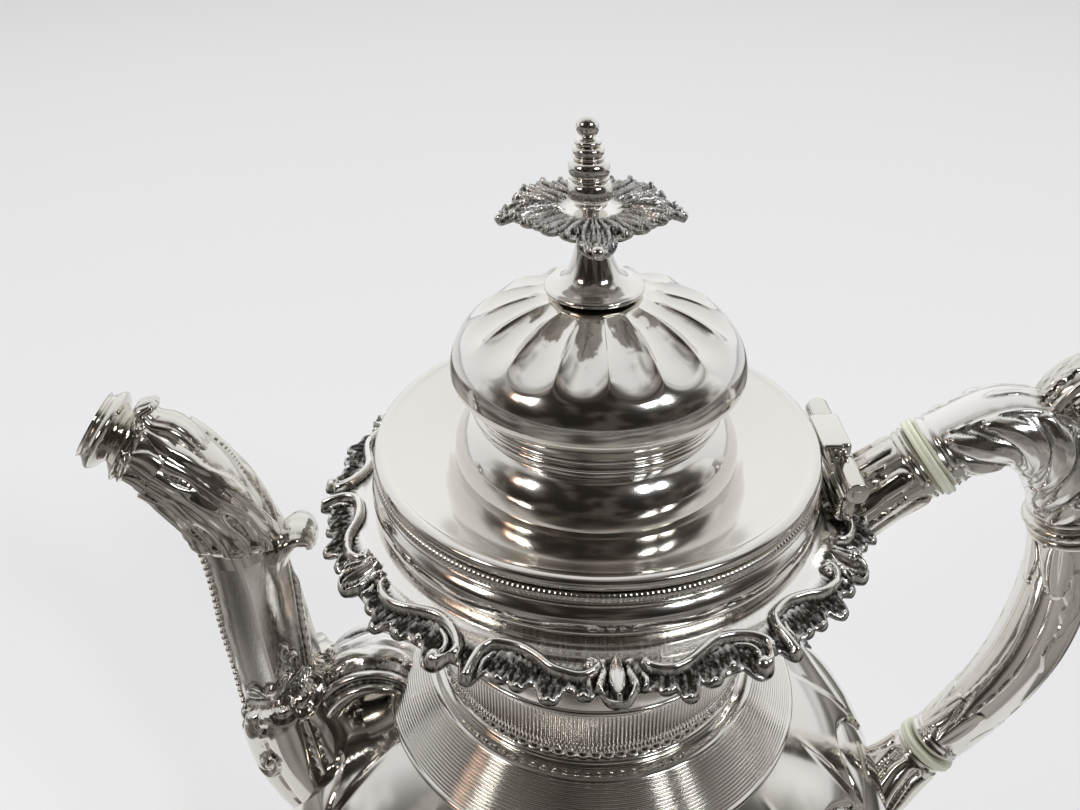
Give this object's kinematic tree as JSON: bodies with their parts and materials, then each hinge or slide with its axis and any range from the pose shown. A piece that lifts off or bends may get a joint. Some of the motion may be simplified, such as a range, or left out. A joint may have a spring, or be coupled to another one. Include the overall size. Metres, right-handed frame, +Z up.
{
  "type": "coffee pot",
  "caption": "Bulbous silver coffee pot on a spreading foot, with a cast spout, a hinged domed lid with a finial, and an insulated scroll handle.",
  "frame": {"origin": "centre of the foot, on the surface the pot stands on", "axes": "+Z up along the body's axis, +X from the body's axis towards the handle, -X towards the spout"},
  "size_m": [0.2184, 0.156, 0.2605],
  "materials": {
    "polished_silver": "mirror-polished sterling silver",
    "cast_silver": "cast and chased silver, darker in the hollows",
    "plain_silver": "plain unpolished silver",
    "insulator": "pale greenish ivory, smooth"
  },
  "bodies": {
    "pot": {"foot_ring": "polished_silver", "foot_pedestal": "polished_silver", "body_shell": "polished_silver", "shoulder_ring": "polished_silver", "neck_band": "polished_silver", "neck": "polished_silver", "mouth_rim": "polished_silver", "rim_beading": "polished_silver", "collar_border": "cast_silver", "spout_base": "cast_silver", "spout_scroll": "cast_silver", "spout_tube": "polished_silver", "spout_bead_strip": "cast_silver", "spout_leaf": "cast_silver", "spout_nozzle": "polished_silver", "strainer_plate": "plain_silver", "handle_upper_socket": "cast_silver", "upper_insulator": "insulator", "handle_elbow": "polished_silver", "thumb_scroll": "cast_silver", "knuckle_ring": "cast_silver", "handle_grip": "polished_silver", "lower_insulator": "insulator", "handle_lower_socket": "cast_silver", "insulator_pins": "plain_silver", "hinge_bracket": "polished_silver", "hinge_pin": "plain_silver"},
    "lid": {"hinge_leaf": "polished_silver", "lid_plate": "polished_silver", "lid_bezel": "polished_silver", "lid_bulge": "polished_silver", "lid_dome": "polished_silver", "finial_washer": "plain_silver", "finial_nut": "plain_silver", "finial_stud": "plain_silver", "finial_stem": "polished_silver", "finial_shell_disc": "cast_silver", "finial_spire": "cast_silver"}
  },
  "joints": [
    {"name": "lid_hinge", "type": "hinge", "parent": "pot", "child": "lid", "pos_m": [0.05, 0, 0.191], "axis": [0, 1, 0], "range_deg": [0, 90]}
  ]
}
